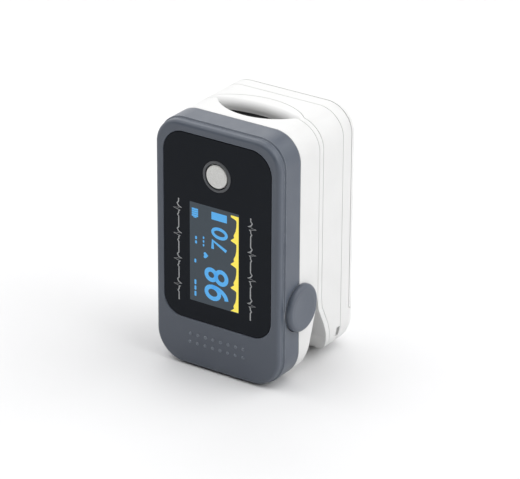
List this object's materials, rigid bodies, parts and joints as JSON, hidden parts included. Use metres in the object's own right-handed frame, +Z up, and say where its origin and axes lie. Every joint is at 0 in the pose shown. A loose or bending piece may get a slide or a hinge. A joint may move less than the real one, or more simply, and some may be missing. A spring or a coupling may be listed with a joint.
{
  "type": "fingertip pulse oximeter",
  "caption": "Clip-shaped fingertip meter: a display half and a battery half hinge open against springs to take a finger in a padded channel.",
  "frame": {"origin": "centre of the base that the closed oximeter stands on", "axes": "+Z up towards the finger opening, +Y from the display face to the battery door, +X to the right when facing the display"},
  "size_m": [0.0358, 0.031, 0.0585],
  "materials": {
    "cover_grey": "satin blue-grey ABS, fine moulded texture",
    "shell_white": "satin white ABS",
    "window_black": "polished black acrylic",
    "ring_grey": "satin dark grey",
    "button_silver": "silver paint, fine matt",
    "switch_black": "moulded",
    "switch_metal": "stamped shell",
    "display_glass": "display glass, lit figures behind a dark filter",
    "tape_black": "foam tape",
    "flex_amber": "polyimide film",
    "board_green": "solder mask",
    "chip_black": "epoxy moulding",
    "screw_steel": "zinc plated",
    "spring_steel": "drawn wire",
    "contact_nickel": "nickel plated",
    "pad_silicone": "soft black silicone",
    "led_package": "white package",
    "lens_clear": "clear epoxy",
    "cell_jacket": "printed film jacket"
  },
  "bodies": {
    "display_half": {"front_cover": "cover_grey", "display_window": "window_black", "button_ring": "ring_grey", "tact_switch": "switch_metal", "oled_panel": "display_glass", "oled_tape": "tape_black", "oled_ribbon": "flex_amber", "main_board": "board_green", "board_chips": "chip_black", "board_screws": "screw_steel", "front_inner_shell": "shell_white", "front_finger_pad": "pad_silicone", "emitter_board": "board_green", "emitter_led": "led_package", "emitter_window": "lens_clear", "hinge_cap_left": "cover_grey", "hinge_cap_right": "cover_grey", "hinge_pin": "screw_steel", "hinge_springs": "spring_steel", "jaw_ribbon": "flex_amber"},
    "power_button": {"power_button": "button_silver", "switch_plunger": "switch_black"},
    "battery_half": {"rear_inner_shell": "shell_white", "rear_finger_pad": "pad_silicone", "sensor_board": "board_green", "photodiode": "chip_black", "sensor_window": "lens_clear", "rear_shell": "shell_white", "back_cover": "shell_white", "battery_left": "cell_jacket", "battery_right": "cell_jacket", "battery_springs": "spring_steel", "battery_contacts": "contact_nickel", "bridge_contact": "contact_nickel", "case_screws": "screw_steel"},
    "battery_door": {"battery_door": "shell_white"}
  },
  "joints": [
    {"name": "jaw_hinge", "type": "hinge", "parent": "display_half", "child": "battery_half", "pos_m": [0, -0.0075, 0.018], "axis": [-1, 0, 0], "range_deg": [0, 14], "stiffness_Nm_per_rad": 0.25, "springref_deg": -28.65, "deforming": ["hinge_springs", "jaw_ribbon"]},
    {"name": "button_press", "type": "slide", "parent": "display_half", "child": "power_button", "axis": [0, 1, 0], "range_m": [0, 0.0003], "stiffness_N_per_m": 2000, "springref_m": -0.0002},
    {"name": "door_slide", "type": "slide", "parent": "battery_half", "child": "battery_door", "axis": [0, 0, 1], "range_m": [0, 0.052]}
  ]
}
